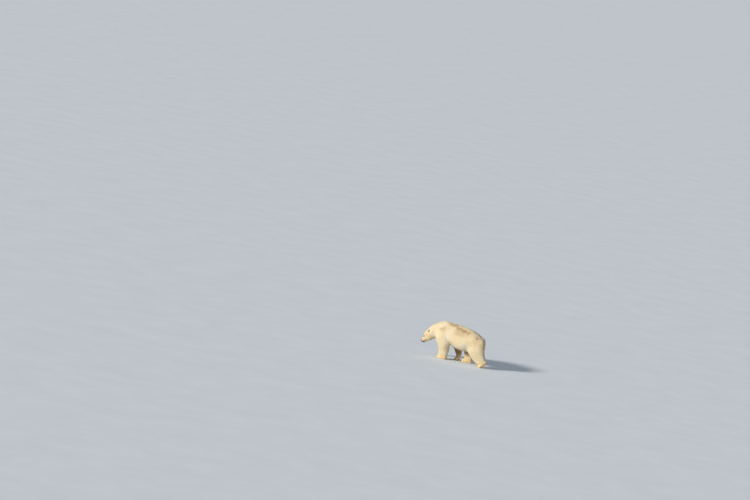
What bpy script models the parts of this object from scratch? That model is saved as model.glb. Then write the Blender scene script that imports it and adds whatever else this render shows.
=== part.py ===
"""A life-size polar bear in mid-stride, parted into head, neck, trunk, tail, legs, paws, ears, eyes, nose and claws.

The bear walks towards -X with its left side at -Y, on soles at z = 0. Metres, +Z up.
Body forms are lofts and ellipsoids, fused by a voxel remesh, softened where flesh meets flesh,
thinned to a light faceted skin and then parted with thin straight cuts.
"""

import math

import bmesh
import bpy
import numpy as np
from mathutils import Matrix, Vector

# ---- driving dimensions, metres and degrees ---------------------------------------------------------------

GAP = 0.0004  # left between neighbouring solids
VOXEL = 0.009  # grain of the fused body before it is thinned
FLESH_TRIANGLES = 4750

WITHERS = 1.062  # highest point of the back, out to the tips of the coat
NOSE_TIP = Vector((-0.738, -0.131, 0.345))
HEAD_PITCH = 45.0  # the muzzle points this far below the horizon
HEAD_YAW = 15.0  # and is turned this far to the bear's left
HEAD_CUT = 0.415  # behind the nose tip, where head and neck are parted

EYE_RADIUS = 0.0130
EYE_BACK, EYE_UP, EYE_OUT = 0.156, 0.072, 0.0475
EAR_BACK, EAR_UP, EAR_OUT = 0.365, 0.135, 0.100
EAR_HEIGHT, EAR_WIDTH, EAR_THICK = 0.084, 0.078, 0.032

CLAW_LENGTH, CLAW_THICK = 0.056, 0.0098

# The trunk and neck from rump to skull: top x, top z, bottom x, bottom z, sideways, half width, pear.
# A pear above 0 carries its width low, as a belly does, and below 0 high.
TRUNK = (
    (1.112, 0.670, 1.114, 0.550, 0.000, 0.090, 0.00),  # point of the rump
    (1.098, 0.732, 1.102, 0.490, 0.000, 0.160, 0.00),
    (1.050, 0.802, 1.055, 0.445, 0.000, 0.222, 0.05),  # tail root
    (0.960, 0.862, 0.960, 0.420, 0.000, 0.264, 0.08),
    (0.820, 0.927, 0.820, 0.390, 0.000, 0.292, 0.10),  # croup
    (0.670, 0.977, 0.680, 0.345, 0.000, 0.306, 0.16),  # loin
    (0.520, 1.008, 0.530, 0.318, 0.000, 0.315, 0.22),  # belly
    (0.340, 1.028, 0.350, 0.348, 0.000, 0.309, 0.22),
    (0.160, 1.038, 0.170, 0.412, 0.000, 0.292, 0.16),  # ribs
    (0.000, 1.050, 0.000, 0.445, 0.000, 0.270, 0.12),
    (-0.110, WITHERS, -0.135, 0.450, 0.000, 0.252, 0.10),  # withers over brisket
    (-0.220, 1.046, -0.245, 0.480, -0.004, 0.228, 0.06),
    (-0.345, 0.988, -0.305, 0.516, -0.016, 0.198, 0.02),  # neck root
    (-0.455, 0.908, -0.345, 0.528, -0.038, 0.177, 0.00),
    (-0.544, 0.830, -0.385, 0.522, -0.060, 0.158, 0.00),  # behind the ears
    (-0.594, 0.752, -0.430, 0.500, -0.074, 0.130, 0.00),
)

# The head: distance behind the nose tip, top, bottom and half width about the muzzle's axis.
HEAD = (
    (0.004, 0.018, -0.018, 0.022),
    (0.014, 0.033, -0.042, 0.038),  # nose pad
    (0.036, 0.042, -0.076, 0.049),  # chin
    (0.072, 0.053, -0.090, 0.056),
    (0.112, 0.070, -0.098, 0.062),  # muzzle
    (0.152, 0.098, -0.106, 0.073),  # eyes
    (0.195, 0.127, -0.118, 0.094),
    (0.240, 0.150, -0.132, 0.116),  # brow and cheeks
    (0.290, 0.166, -0.145, 0.134),
    (0.345, 0.174, -0.155, 0.144),  # jaw corner
    (0.405, 0.174, -0.162, 0.148),
    (0.450, 0.162, -0.150, 0.132),
)

# Each leg from inside the body down to the wrist or hock: x, y, z, half thickness fore and aft, half thickness across.
LEGS = {
    "fore_left": (
        (-0.150, -0.120, 0.880, 0.080, 0.050),
        (-0.155, -0.150, 0.800, 0.150, 0.090),  # shoulder blade
        (-0.140, -0.180, 0.680, 0.192, 0.114),
        (-0.096, -0.195, 0.570, 0.198, 0.120),  # upper arm
        (-0.040, -0.200, 0.480, 0.194, 0.118),  # elbow
        (-0.010, -0.197, 0.380, 0.182, 0.110),
        (0.004, -0.190, 0.280, 0.166, 0.104),  # forearm
        (0.006, -0.184, 0.180, 0.148, 0.100),
        (0.002, -0.180, 0.100, 0.140, 0.101),  # wrist
        (0.004, -0.180, 0.050, 0.128, 0.096),
    ),
    "fore_right": (
        (-0.130, 0.120, 0.880, 0.080, 0.050),
        (-0.105, 0.150, 0.800, 0.150, 0.090),
        (-0.040, 0.180, 0.680, 0.185, 0.114),
        (0.060, 0.190, 0.580, 0.170, 0.118),
        (0.165, 0.190, 0.490, 0.138, 0.114),
        (0.245, 0.184, 0.405, 0.116, 0.104),
        (0.300, 0.177, 0.320, 0.104, 0.096),
        (0.338, 0.171, 0.240, 0.098, 0.091),
        (0.356, 0.167, 0.185, 0.088, 0.089),
    ),
    "hind_left": (
        (0.840, -0.090, 0.760, 0.120, 0.070),
        (0.880, -0.135, 0.690, 0.225, 0.128),  # haunch
        (0.925, -0.168, 0.590, 0.275, 0.144),
        (0.962, -0.186, 0.490, 0.272, 0.143),  # thigh
        (1.006, -0.194, 0.395, 0.240, 0.132),
        (1.062, -0.195, 0.305, 0.204, 0.118),  # shank
        (1.126, -0.190, 0.225, 0.172, 0.107),
        (1.186, -0.184, 0.160, 0.142, 0.100),
        (1.218, -0.182, 0.125, 0.116, 0.091),  # hock
    ),
    "hind_right": (
        (0.870, 0.090, 0.760, 0.120, 0.070),
        (0.848, 0.138, 0.680, 0.240, 0.130),
        (0.790, 0.172, 0.580, 0.278, 0.145),
        (0.716, 0.192, 0.480, 0.246, 0.142),
        (0.664, 0.199, 0.380, 0.198, 0.129),
        (0.652, 0.198, 0.290, 0.162, 0.114),
        (0.660, 0.194, 0.205, 0.142, 0.102),
        (0.666, 0.190, 0.140, 0.124, 0.094),
        (0.666, 0.188, 0.090, 0.104, 0.086),
    ),
}

# Each paw: the ball of the foot and how high it is, length, width, how far the heel is raised, how far toes turn in.
PAWS = {
    "fore_left": {"ball": (-0.052, -0.180, 0.0), "length": 0.300, "width": 0.236, "lift": 0.0, "turn_in": 8.0},
    "fore_right": {"ball": (0.378, 0.160, 0.050), "length": 0.280, "width": 0.222, "lift": 62.0, "turn_in": 6.0},
    "hind_left": {"ball": (1.226, -0.180, 0.038), "length": 0.315, "width": 0.214, "lift": 46.0, "turn_in": 4.0},
    "hind_right": {"ball": (0.580, 0.190, 0.0), "length": 0.320, "width": 0.214, "lift": 0.0, "turn_in": 4.0},
}
PAW_DEPTHS = {"fore_right": 0.80, "hind_left": 0.92}  # feet with the heel raised are less spread
TOES = (-0.80, -0.42, 0.0, 0.42, 0.80)  # across the paw, as shares of its half width

# A leg is parted from the trunk by planes: before and behind it (x at the floor and lean), and a slanting top
# that stands at one height over the middle of the body and at another over its flank.
LEG_CUTS = {
    "fore_left": {"before": (-0.400, 0.10), "behind": (0.230, -0.06), "inner": 0.395, "outer": 0.740},
    "hind_right": {"before": (0.440, 0.03), "behind": (1.060, 0.05), "inner": 0.290, "outer": 0.760},
    "fore_right": {"before": (0.130, -0.60), "behind": (0.530, -0.34), "inner": 0.375, "outer": 0.740},
    "hind_left": {"before": (0.800, -0.30), "behind": (1.600, 0.00), "inner": 0.300, "outer": 0.760},
}
FLANK = 0.42  # how far out that outer height is measured
NECK_CUT, NECK_TILT = (-0.300, 0.0, 0.760), 24.0  # a point on the plane between neck and trunk, and its tilt
MIDDLE_X, MIDDLE_Y = 0.294, 0.0024  # the middle of the whole bear, which becomes the origin

# A paw is parted from its leg by a slanting plane: a point on it and its tilt, in degrees about Y.
PAW_CUTS = {
    "fore_left": ((0.000, -0.180, 0.112), 4.0),
    "fore_right": ((0.352, 0.165, 0.190), -24.0),
    "hind_left": ((1.190, -0.182, 0.155), -40.0),
    "hind_right": ((0.650, 0.186, 0.120), 0.0),
}


# ---- helpers ------------------------------------------------------------------------------------------------


def clear_scene():
    for obj in list(bpy.data.objects):
        bpy.data.objects.remove(obj)


def new_collection(name):
    collection = bpy.data.collections.new(name)
    bpy.context.scene.collection.children.link(collection)
    return collection


def material(name, color, roughness):
    made = bpy.data.materials.new(name)
    made.use_nodes = True
    shader = made.node_tree.nodes["Principled BSDF"]
    shader.inputs["Base Color"].default_value = (*color, 1.0)
    shader.inputs["Roughness"].default_value = roughness
    shader.inputs["Metallic"].default_value = 0.0
    return made


def add_object(name, mesh, collection):
    obj = bpy.data.objects.new(name, mesh)
    collection.objects.link(obj)
    return obj


def smooth_rows(rows, steps):
    """Rows of a table joined by a smooth curve, with this many steps from each row to the next."""
    table = np.array(rows, float)
    padded = np.vstack([2 * table[0] - table[1], table, 2 * table[-1] - table[-2]])
    t = np.linspace(0, 1, steps, endpoint=False)[:, None]
    pieces = []
    for a, b, c, d in zip(padded, padded[1:], padded[2:], padded[3:]):
        pieces.append(b + 0.5 * t * (c - a + t * (2 * a - 5 * b + 4 * c - d + t * (3 * (b - c) + d - a))))
    return np.vstack([*pieces, table[-1:]])


def loft_mesh(name, rings):
    """A closed tube through rings of points, each end closed by a fan about its middle."""
    count, around = rings.shape[:2]
    points = np.vstack([rings.reshape(-1, 3), rings[0].mean(0), rings[-1].mean(0)])
    faces = []
    for i in range(count - 1):
        for j in range(around):
            k = (j + 1) % around
            faces.append((i * around + j, i * around + k, (i + 1) * around + k, (i + 1) * around + j))
    first, last = count * around, count * around + 1
    for j in range(around):
        k = (j + 1) % around
        faces.append((first, k, j))
        faces.append((last, (count - 1) * around + j, (count - 1) * around + k))
    mesh = bpy.data.meshes.new(name)
    mesh.from_pydata(points.tolist(), [], faces)
    face_outwards(mesh)
    return mesh


def face_outwards(mesh):
    bm = bmesh.new()
    bm.from_mesh(mesh)
    bmesh.ops.recalc_face_normals(bm, faces=bm.faces)
    bm.to_mesh(mesh)
    bm.free()


def ring_angles(around):
    return np.linspace(0, 2 * math.pi, around, endpoint=False)


def superellipse(around, squareness):
    """Sideways and upright shares of a rounded ring, an ellipse at 2 and boxier above it."""
    angle = ring_angles(around)
    power = 2.0 / squareness
    side = np.sign(np.cos(angle)) * np.abs(np.cos(angle)) ** power
    rise = np.sign(np.sin(angle)) * np.abs(np.sin(angle)) ** power
    return side, rise


def ellipsoid_mesh(name, centre, radii, turn=(0.0, 0.0, 0.0), segments=24):
    bm = bmesh.new()
    bmesh.ops.create_uvsphere(bm, u_segments=segments, v_segments=segments // 2, radius=1.0)
    tilt = Matrix.Rotation(math.radians(turn[2]), 4, "Z") @ Matrix.Rotation(math.radians(turn[1]), 4, "Y")
    tilt = tilt @ Matrix.Rotation(math.radians(turn[0]), 4, "X")
    bm.transform(Matrix.Translation(centre) @ tilt @ Matrix.Diagonal((*radii, 1.0)))
    mesh = bpy.data.meshes.new(name)
    bm.to_mesh(mesh)
    bm.free()
    return mesh


def baked(obj):
    """The object's mesh with its modifiers worked in."""
    graph = bpy.context.evaluated_depsgraph_get()
    return bpy.data.meshes.new_from_object(obj.evaluated_get(graph))


def with_modifier(mesh, kind, **settings):
    """A copy of the mesh with one modifier worked in."""
    obj = add_object("working", mesh.copy(), bpy.context.scene.collection)
    modifier = obj.modifiers.new(kind.title(), kind)
    for key, value in settings.items():
        setattr(modifier, key, value)
    made = baked(obj)
    bpy.data.objects.remove(obj)
    return made


def boolean(mesh, cutter_mesh, operation):
    cutter = add_object("cutter", cutter_mesh, bpy.context.scene.collection)
    cutter.hide_render = True
    made = with_modifier(mesh, "BOOLEAN", operation=operation, object=cutter, solver="EXACT")
    bpy.data.objects.remove(cutter)
    return made


def turned(pitch, yaw):
    """A turn of pitch degrees about Y, then of yaw degrees about Z."""
    return Matrix.Rotation(math.radians(yaw), 4, "Z") @ Matrix.Rotation(math.radians(pitch), 4, "Y")


def box_mesh(middle, half, turn, grow=0.0):
    bm = bmesh.new()
    bmesh.ops.create_cube(bm, size=2.0)
    bm.transform(Matrix.Translation(middle) @ turn @ Matrix.Diagonal((*(h + grow for h in half), 1.0)))
    mesh = bpy.data.meshes.new("box")
    bm.to_mesh(mesh)
    bm.free()
    return mesh


def carved(mesh, middle, half, turn):
    """The part of the mesh inside a box, and the rest of it, with the gap between them."""
    inside = boolean(mesh, box_mesh(middle, half, turn), "INTERSECT")
    rest = boolean(mesh, box_mesh(middle, half, turn, GAP), "DIFFERENCE")
    return inside, rest


def swollen(mesh, amount):
    """A copy of the mesh with every point moved out along its normal."""
    copy = mesh.copy()
    normals = np.empty(len(copy.vertices) * 3)
    copy.vertex_normals.foreach_get("vector", normals)
    copy.vertices.foreach_set("co", (points_of(copy) + amount * normals.reshape(-1, 3)).ravel())
    copy.update()
    return copy


# ---- body forms ---------------------------------------------------------------------------------------------


def head_axes():
    """Forward, left and up of the head as unit vectors."""
    pitch, yaw = math.radians(HEAD_PITCH), math.radians(HEAD_YAW)
    forward = Vector((-math.cos(pitch) * math.cos(yaw), -math.cos(pitch) * math.sin(yaw), -math.sin(pitch)))
    left = Vector((math.sin(yaw), -math.cos(yaw), 0.0))
    return forward, left, left.cross(forward) * -1.0


def on_head(back, left, up):
    """A place on the head, measured back from the nose tip."""
    forward, sideways, rise = head_axes()
    return NOSE_TIP - forward * back + sideways * left + rise * up


def trunk_mesh():
    around = 48
    rows = smooth_rows(TRUNK, 4)
    side, rise = superellipse(around, 2.15)
    top = np.stack([rows[:, 0], rows[:, 4], rows[:, 1]], 1)[:, None]
    bottom = np.stack([rows[:, 2], rows[:, 4], rows[:, 3]], 1)[:, None]
    width = rows[:, 5, None] * (1 - rows[:, 6, None] * rise[None] - 0.10 * np.maximum(rise, 0)[None])
    rings = (top + bottom) / 2 + (top - bottom) / 2 * rise[None, :, None]
    rings[:, :, 1] += width * side[None]
    return loft_mesh("trunk form", rings)


def head_mesh():
    around = 40
    rows = smooth_rows(HEAD, 4)
    side, rise = superellipse(around, 2.25)
    forward, left, up = (np.array(axis) for axis in head_axes())
    lifted = np.where(rise > 0, rows[:, 1, None] * rise, -rows[:, 2, None] * rise)
    # The skull is broadest below its middle and narrows towards the crown.
    width = rows[:, 3, None] * side * (1 - 0.16 * np.maximum(rise, 0) - 0.05 * np.maximum(-rise, 0))
    rings = np.array(NOSE_TIP) - forward * rows[:, 0, None, None]
    rings = rings + left * width[:, :, None] + up * lifted[:, :, None]
    return loft_mesh("head form", rings)


def leg_mesh(name, rows, around=36, steps=4):
    rows = smooth_rows(rows, steps)
    side, rise = superellipse(around, 2.2)
    path = rows[:, :3]
    along = np.gradient(path, axis=0)
    along /= np.linalg.norm(along, axis=1, keepdims=True)
    across = np.array([0.0, 1.0, 0.0])
    fore = np.cross(across, along)
    fore /= np.linalg.norm(fore, axis=1, keepdims=True)
    rings = path[:, None] + fore[:, None] * rows[:, 3, None, None] * rise[None, :, None]
    rings = rings + across * (rows[:, 4, None] * side[None])[:, :, None]
    return loft_mesh(name, rings)


def paw_frame(name):
    """The paw's own axes in the body: toes along -X, heel raised about the ball of the foot."""
    spec = PAWS[name]
    inward = -1.0 if name.endswith("left") else 1.0
    return Matrix.Translation(spec["ball"]) @ turned(-spec["lift"], inward * spec["turn_in"])


def toe_centres(name):
    """The middles of the five toes in the paw's own axes, in a bow with the middle toe foremost."""
    spec = PAWS[name]
    for share in TOES:
        reach = 0.050 - 0.36 * spec["length"] + 0.030 * share * share
        yield Vector((reach, share * spec["width"] * 0.43, 0.036))


def paw_meshes(name):
    """A low broad pad with five toes in a bow at its front, before it is set on the floor."""
    spec = PAWS[name]
    frame = paw_frame(name)
    half = spec["width"] / 2
    heel = 0.64 * spec["length"]
    deep = PAW_DEPTHS.get(name, 1.0)
    meshes = [
        ellipsoid_mesh("pad", (0.02, 0, 0.045), (0.125, half * 0.90, 0.075 * deep)),
        ellipsoid_mesh("instep", (0.5 * heel, 0, 0.055), (0.54 * heel, half * 0.74, 0.082 * deep)),
    ]
    meshes += [ellipsoid_mesh("toe", centre, (0.056, 0.0285, 0.042)) for centre in toe_centres(name)]
    for mesh in meshes:
        mesh.transform(frame)
    return meshes


def muscle_meshes():
    """Masses that break the tubes: shoulders, haunches, cheeks, brows and jaw."""
    meshes = [
        ellipsoid_mesh("shoulder", (-0.11, -0.150, 0.74), (0.155, 0.125, 0.235), (0, -14, 0)),
        ellipsoid_mesh("shoulder", (-0.07, 0.150, 0.74), (0.155, 0.125, 0.235), (0, -24, 0)),
        ellipsoid_mesh("haunch", (0.89, -0.150, 0.62), (0.205, 0.150, 0.210), (0, -18, 0)),
        ellipsoid_mesh("haunch", (0.84, 0.150, 0.62), (0.205, 0.150, 0.210), (0, 18, 0)),
        ellipsoid_mesh("elbow", (0.045, -0.205, 0.475), (0.070, 0.072, 0.085)),
    ]
    for sign in (-1, 1):
        cheek = on_head(0.265, 0.072 * sign, -0.045)
        meshes.append(ellipsoid_mesh("cheek", cheek, (0.075, 0.058, 0.080), (0, -HEAD_PITCH, HEAD_YAW)))
        brow = on_head(0.196, 0.044 * sign, 0.086)
        meshes.append(ellipsoid_mesh("brow", brow, (0.058, 0.026, 0.018), (0, -HEAD_PITCH, HEAD_YAW)))
    return meshes


def tail_mesh():
    rows = [(0.998, 0.0, 0.798, 0.040, 0.052), (1.054, 0.0, 0.776, 0.042, 0.060)]
    rows += [(1.092, 0.0, 0.728, 0.038, 0.056), (1.110, 0.0, 0.678, 0.028, 0.042), (1.114, 0.0, 0.652, 0.012, 0.020)]
    return leg_mesh("tail form", rows, 14, 2)


def joined(meshes):
    bm = bmesh.new()
    for mesh in meshes:
        bm.from_mesh(mesh)
    whole = bpy.data.meshes.new("forms")
    bm.to_mesh(whole)
    bm.free()
    return whole


def points_of(mesh):
    points = np.empty(len(mesh.vertices) * 3)
    mesh.vertices.foreach_get("co", points)
    return points.reshape(-1, 3)


def softened(mesh, rounds):
    """Evens out the creases where forms meet, fully on the trunk and hardly at all on the head and paws."""
    points = points_of(mesh)
    edges = np.empty(len(mesh.edges) * 2, int)
    mesh.edges.foreach_get("vertices", edges)
    ends = edges.reshape(-1, 2)
    away = np.linalg.norm(points - np.array(NOSE_TIP), axis=1)
    ease = np.clip((away - 0.27) / 0.16, 0.14, 1.0) * np.clip((points[:, 2] - 0.05) / 0.14, 0.08, 1.0)
    degree = np.bincount(ends.ravel(), minlength=len(points))[:, None]
    for _ in range(rounds):
        total = np.zeros_like(points)
        np.add.at(total, ends[:, 0], points[ends[:, 1]])
        np.add.at(total, ends[:, 1], points[ends[:, 0]])
        points += 0.7 * ease[:, None] * (total / degree - points)
    mesh.vertices.foreach_set("co", points.ravel())
    mesh.update()
    return mesh


def fused_body():
    forms = [trunk_mesh(), head_mesh(), *muscle_meshes()]
    for name, rows in LEGS.items():
        forms.append(leg_mesh(name, rows))
        forms.extend(paw_meshes(name))
    body = with_modifier(joined(forms), "REMESH", mode="VOXEL", voxel_size=VOXEL)
    return softened(body, 50)


def thinned(mesh):
    """The fused body at its final triangle count, kept finer on the head, with flat soles at z = 0."""
    obj = add_object("working", mesh, bpy.context.scene.collection)
    points = points_of(mesh)
    away = np.linalg.norm(points - np.array(NOSE_TIP), axis=1)
    plain = np.clip((away - 0.32) / 0.12, 0.0, 1.0)
    group = obj.vertex_groups.new(name="plain")
    for level in range(11):
        chosen = np.flatnonzero(np.round(plain * 10).astype(int) == level)
        group.add(chosen.tolist(), 0.5 + 0.05 * level, "REPLACE")
    modifier = obj.modifiers.new("Decimate", "DECIMATE")
    modifier.vertex_group = "plain"
    modifier.vertex_group_factor = 0.01  # a little weight goes a long way
    modifier.ratio = FLESH_TRIANGLES / (2 * len(mesh.polygons))
    modifier.use_collapse_triangulate = True
    made = baked(obj)
    bpy.data.objects.remove(obj)
    floor = box_mesh((0.3, 0.0, -0.3), (2.0, 1.0, 0.3), Matrix.Identity(4))
    return boolean(made, floor, "DIFFERENCE")


# ---- parting the body ---------------------------------------------------------------------------------------


def leg_cutter(name, grow=0.0):
    """A block between two leaning planes, under a slanting top, from the middle of the body out past the flank."""
    cut = LEG_CUTS[name]
    side = -1.0 if name.endswith("left") else 1.0
    bm = bmesh.new()
    bmesh.ops.create_cube(bm, size=2.0)
    for vertex in bm.verts:
        x, y, z = vertex.co
        outer = y * side > 0
        low, lean = cut["before"] if x < 0 else cut["behind"]
        height = -0.1 if z < 0 else (cut["outer"] if outer else cut["inner"]) + grow
        across = FLANK if outer else -grow
        vertex.co = (low + lean * height + math.copysign(grow, x), side * across, height)
    mesh = bpy.data.meshes.new("leg cutter")
    bm.to_mesh(mesh)
    bm.free()
    return mesh


def parted(body):
    """The flesh as named solids: four legs, four paws, head, neck and trunk."""
    solids = {}
    for name in LEG_CUTS:
        leg = boolean(body, leg_cutter(name), "INTERSECT")
        body = boolean(body, leg_cutter(name, GAP), "DIFFERENCE")
        point, tilt = PAW_CUTS[name]
        turn = turned(tilt, 0.0)
        middle = Vector(point) + turn.to_3x3() @ Vector((0.0, 0.0, -0.3))
        paw, leg = carved(leg, middle, (0.5, 0.3, 0.3), turn)
        solids[name + "_paw"] = paw
        solids[name + "_leg"] = leg
    forward = head_axes()[0]
    ahead = Vector(NOSE_TIP) - forward * (HEAD_CUT - 0.4)
    solids["head"], body = carved(body, ahead, (0.4, 0.4, 0.5), turned(-HEAD_PITCH, HEAD_YAW))
    neck_turn = turned(NECK_TILT, 0.0)
    before = Vector(NECK_CUT) + neck_turn.to_3x3() @ Vector((-0.3, 0.0, 0.0))
    solids["neck"], solids["trunk"] = carved(body, before, (0.3, 0.4, 0.6), neck_turn)
    return solids


def seated(mesh, base):
    """The part of the mesh that stands proud of the base solid, with the gap left under it."""
    return boolean(mesh, swollen(base, GAP), "DIFFERENCE")


def ear_mesh(sign):
    """A rounded upright ear, hollowed on its front."""
    turn = (sign * -34.0, -HEAD_PITCH + 62.0, HEAD_YAW + sign * 16.0)
    centre = on_head(EAR_BACK, sign * EAR_OUT, EAR_UP)
    radii = (EAR_THICK / 2, EAR_WIDTH / 2, EAR_HEIGHT / 2)
    ear = ellipsoid_mesh("ear", centre, radii, turn, 14)
    forward = head_axes()[0]
    hollow_centre = centre + forward * (EAR_THICK * 0.55)
    hollow = ellipsoid_mesh("hollow", hollow_centre, (radii[0] * 0.9, radii[1] * 0.66, radii[2] * 0.70), turn, 12)
    return boolean(ear, hollow, "DIFFERENCE")


def claw_mesh(name, toe):
    """A curved cone that leaves the top of the toe forwards and droops, clear of the floor."""
    spec = PAWS[name]
    frame = paw_frame(name)
    root = frame @ toe
    ahead = (frame.to_3x3() @ Vector((-1.0, 0.0, 0.0))) if spec["lift"] < 1 else None
    if ahead is None:
        ahead = turned(0.0, (-1.0 if name.endswith("left") else 1.0) * spec["turn_in"]).to_3x3() @ Vector((-1, 0, 0))
    level = max(root.z + 0.006, 0.046)
    side = Vector((0.0, 0.0, 1.0)).cross(ahead)
    rings = []
    for step in range(5):
        t = step / 4
        centre = root + ahead * (0.024 + CLAW_LENGTH * (math.sin(1.25 * t) / math.sin(1.25)))
        centre.z = level - 0.030 * t * t
        thick = CLAW_THICK * (1.0 - 0.86 * t ** 1.4)
        lean = Vector((0.0, 0.0, 1.0)) * math.cos(1.0 * t) + ahead * math.sin(1.0 * t)
        ring = [
            centre + side * (0.72 * thick * math.cos(a)) + lean * (thick * math.sin(a)) for a in ring_angles(5)
        ]
        rings.append([tuple(point) for point in ring])
    return loft_mesh("claw", np.array(rings))


def small_solids(solids):
    """Eyes, nose, ears, tail and claws, each fitted against its neighbour with a gap."""
    for sign, word in ((1, "left"), (-1, "right")):
        centre = on_head(EYE_BACK, sign * EYE_OUT, EYE_UP)
        radius = (EYE_RADIUS,) * 3
        solids["head"] = boolean(
            solids["head"], ellipsoid_mesh("socket", centre, [r + GAP for r in radius], segments=12), "DIFFERENCE"
        )
        solids[word + "_eye"] = ellipsoid_mesh("eye", centre, radius, segments=12)
    solids["nose"], solids["head"] = carved(
        solids["head"], on_head(-0.006, 0.0, 0.022), (0.026, 0.036, 0.028), turned(-HEAD_PITCH + 20.0, HEAD_YAW)
    )
    for sign, word in ((1, "left"), (-1, "right")):
        solids[word + "_ear"] = seated(seated(ear_mesh(sign), solids["head"]), solids["neck"])
    solids["tail"] = seated(tail_mesh(), solids["trunk"])
    for name in PAWS:
        for number, toe in enumerate(toe_centres(name), 1):
            solids[f"{name}_claw_{number}"] = seated(claw_mesh(name, toe), solids[name + "_paw"])
    return solids


# ---- the bear -----------------------------------------------------------------------------------------------

LOOKS = {
    "coat": ((0.80, 0.68, 0.44), 0.85),
    "eye": ((0.02, 0.012, 0.008), 0.15),
    "nose": ((0.02, 0.018, 0.017), 0.45),
    "claw": ((0.045, 0.035, 0.028), 0.35),
}


def look_of(name):
    for word in ("eye", "nose", "claw"):
        if word in name:
            return word
    return "coat"


def build():
    clear_scene()
    solids = small_solids(parted(thinned(fused_body())))
    collection = new_collection("polar bear")
    for name, mesh in solids.items():
        mesh.name = name
        mesh.materials.clear()
        color, roughness = LOOKS[look_of(name)]
        mesh.materials.append(material(name + " look", color, roughness))
        mesh.shade_smooth()
        mesh.set_sharp_from_angle(angle=math.radians(40))
        mesh.transform(Matrix.Translation((-MIDDLE_X, -MIDDLE_Y, 0.0)))
        add_object(name, mesh, collection)
    for mesh in [mesh for mesh in bpy.data.meshes if not mesh.users]:
        bpy.data.meshes.remove(mesh)


build()
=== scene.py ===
import math

import bmesh
import bpy
import numpy as np
from mathutils import Matrix, Vector
from mathutils.bvhtree import BVHTree


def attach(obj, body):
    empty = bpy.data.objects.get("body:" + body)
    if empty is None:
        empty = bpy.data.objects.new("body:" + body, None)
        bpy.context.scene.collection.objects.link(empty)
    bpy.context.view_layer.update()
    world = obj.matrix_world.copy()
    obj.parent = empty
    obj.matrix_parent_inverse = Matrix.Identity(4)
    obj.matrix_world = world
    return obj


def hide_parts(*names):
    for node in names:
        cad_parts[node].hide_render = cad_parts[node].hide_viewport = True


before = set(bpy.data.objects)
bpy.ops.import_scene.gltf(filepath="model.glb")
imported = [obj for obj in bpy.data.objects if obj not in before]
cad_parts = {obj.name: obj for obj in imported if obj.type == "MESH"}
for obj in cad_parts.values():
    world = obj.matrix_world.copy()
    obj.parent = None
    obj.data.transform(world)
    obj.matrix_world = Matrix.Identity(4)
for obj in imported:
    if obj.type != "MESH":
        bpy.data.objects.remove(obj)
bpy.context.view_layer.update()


# small tools for arrays and meshes
def arrayOf(items, key, width=3, kind=np.float32):
    flat = np.empty(len(items) * width, kind)
    items.foreach_get(key, flat)
    return flat.reshape(-1, width)


def pointsOf(mesh):
    return arrayOf(mesh.vertices, "co").astype(float)


def normalsOf(mesh):
    return arrayOf(mesh.vertex_normals, "vector").astype(float)


def trianglesOf(mesh):
    mesh.calc_loop_triangles()
    return arrayOf(mesh.loop_triangles, "vertices", 3, np.int32)


def unit(vectors):
    return vectors / np.maximum(np.linalg.norm(vectors, axis=-1, keepdims=True), 1e-9)


def dot(a, b):
    return (a * b).sum(-1)


def laidAlong(way, normal):
    # the way without its part across the skin, as a unit vector
    return unit(way - dot(way, normal)[:, None] * normal)


def gapTo(points, centre):
    return np.linalg.norm(points - centre, axis=1)


def step01(value, low, high):
    # 0 below low, 1 above high, an even S between them
    t = np.clip((value - low) / (high - low), 0, 1)
    return t * t * (3 - 2 * t)


def mound(*terms):
    # a bell curve, 1 where every value is at its centre
    return np.exp(-sum(((value - centre) / width) ** 2 for value, centre, width in terms))


def setPoints(mesh, points):
    mesh.vertices.foreach_set("co", points.astype(np.float32).ravel())
    mesh.update()


def setSmooth(mesh):
    mesh.polygons.foreach_set("use_smooth", np.ones(len(mesh.polygons), bool))


def addValues(mesh, name, values):
    mesh.attributes.new(name, "FLOAT", "POINT").data.foreach_set("value", values.astype(np.float32))


def meshFromFaces(name, points, quads, triangles=()):
    # whole arrays into a mesh: the quads first, then the triangles
    quads = np.asarray(quads, np.int32).reshape(-1, 4)
    triangles = np.asarray(triangles, np.int32).reshape(-1, 3)
    mesh = bpy.data.meshes.new(name)
    mesh.vertices.add(len(points))
    mesh.vertices.foreach_set("co", np.asarray(points, np.float32).ravel())
    loops = np.concatenate([quads.ravel(), triangles.ravel()])
    totals = np.repeat([4, 3], [len(quads), len(triangles)]).astype(np.int32)
    mesh.loops.add(len(loops))
    mesh.loops.foreach_set("vertex_index", loops)
    mesh.polygons.add(len(totals))
    mesh.polygons.foreach_set("loop_start", (np.cumsum(totals) - totals).astype(np.int32))
    mesh.polygons.foreach_set("loop_total", totals)
    setSmooth(mesh)
    mesh.update(calc_edges=True)
    return mesh


def edit(mesh, change):
    work = bmesh.new()
    work.from_mesh(mesh)
    change(work)
    work.to_mesh(mesh)
    work.free()


def gridMesh(name, grid):
    # rows by columns, the columns joined round and both ends closed by a fan
    rows, columns = grid.shape[:2]
    index = np.arange(rows * columns).reshape(rows, columns)
    nextColumn = np.roll(index, -1, axis=1)
    quads = np.stack([index[:-1], nextColumn[:-1], nextColumn[1:], index[1:]], -1)
    first, last = rows * columns, rows * columns + 1
    startFan = np.stack([np.full(columns, first), nextColumn[0], index[0]], -1)
    endFan = np.stack([np.full(columns, last), index[-1], nextColumn[-1]], -1)
    points = np.vstack([grid.reshape(-1, 3), grid[0].mean(0), grid[-1].mean(0)])
    mesh = meshFromFaces(name, points, quads, np.vstack([startFan, endFan]))
    edit(mesh, lambda work: bmesh.ops.recalc_face_normals(work, faces=work.faces))
    setSmooth(mesh)
    mesh.update()
    return mesh


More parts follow.
